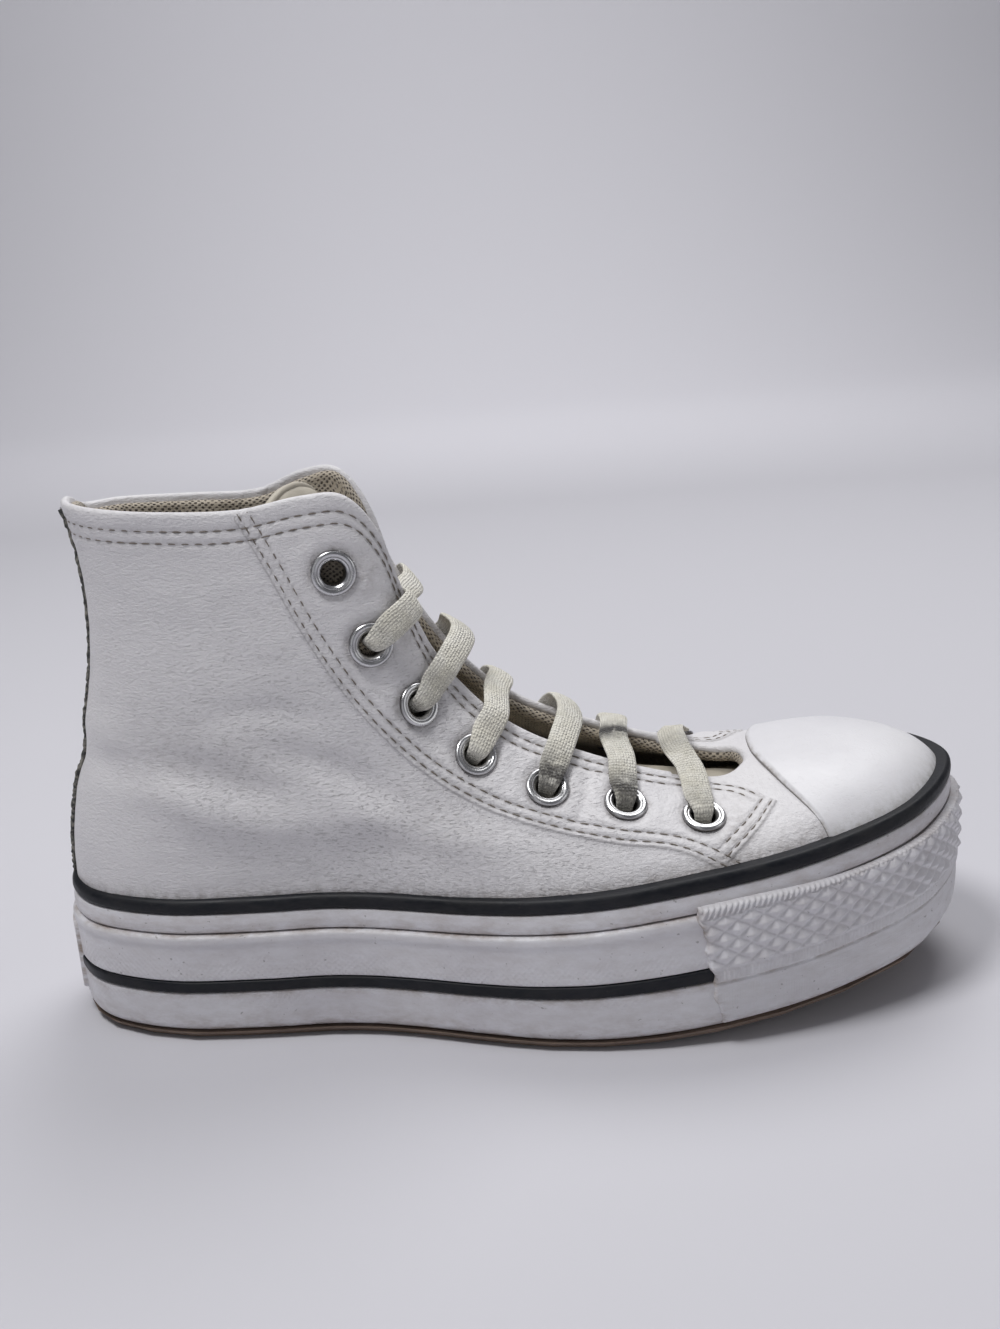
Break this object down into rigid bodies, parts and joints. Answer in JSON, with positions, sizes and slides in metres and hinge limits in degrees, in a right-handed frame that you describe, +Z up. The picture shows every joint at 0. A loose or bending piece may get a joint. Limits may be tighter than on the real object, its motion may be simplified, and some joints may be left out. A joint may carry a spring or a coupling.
{
  "type": "worn high-top platform sneaker",
  "caption": "Worn lace-up high-top sneaker for the right foot, white leather on a thick striped platform sole, empty and standing on its sole.",
  "frame": {"origin": "middle of the bounding box on the floor plane", "axes": "+X to the toe, +Y to the inner (medial) side, +Z up"},
  "size_m": [0.2648, 0.1024, 0.155],
  "materials": {
    "tread_rubber": "worn brown rubber",
    "white_rubber": "white moulded rubber, scuffed and yellowed at its joints",
    "stripe_rubber": "dark navy rubber, satin",
    "leather": "white grained leather, creased and scuffed",
    "tongue_leather": "cream leather over thin padding",
    "lining": "beige spacer mesh",
    "eyelet_metal": "pressed plated rings, dulled",
    "lace": "flat woven cotton lace, cream and dirty"
  },
  "bodies": {
    "root": {"outsole": "tread_rubber", "platform": "white_rubber", "lower_stripe": "stripe_rubber", "foxing": "white_rubber", "upper_stripe": "stripe_rubber", "toe_bumper": "white_rubber", "heel_plate": "white_rubber", "insole": "lining", "upper": "leather", "toe_cap": "leather", "tongue": "tongue_leather", "eyelet_outer_1": "eyelet_metal", "eyelet_inner_1": "eyelet_metal", "eyelet_outer_2": "eyelet_metal", "eyelet_inner_2": "eyelet_metal", "eyelet_outer_3": "eyelet_metal", "eyelet_inner_3": "eyelet_metal", "eyelet_outer_4": "eyelet_metal", "eyelet_inner_4": "eyelet_metal", "eyelet_outer_5": "eyelet_metal", "eyelet_inner_5": "eyelet_metal", "eyelet_outer_6": "eyelet_metal", "eyelet_inner_6": "eyelet_metal", "eyelet_outer_7": "eyelet_metal", "eyelet_inner_7": "eyelet_metal", "lace_bar_2": "lace", "lace_bar_3": "lace", "lace_bar_4": "lace", "lace_bar_5": "lace", "lace_bar_6": "lace", "lace_bar_7": "lace"}
  },
  "joints": []
}
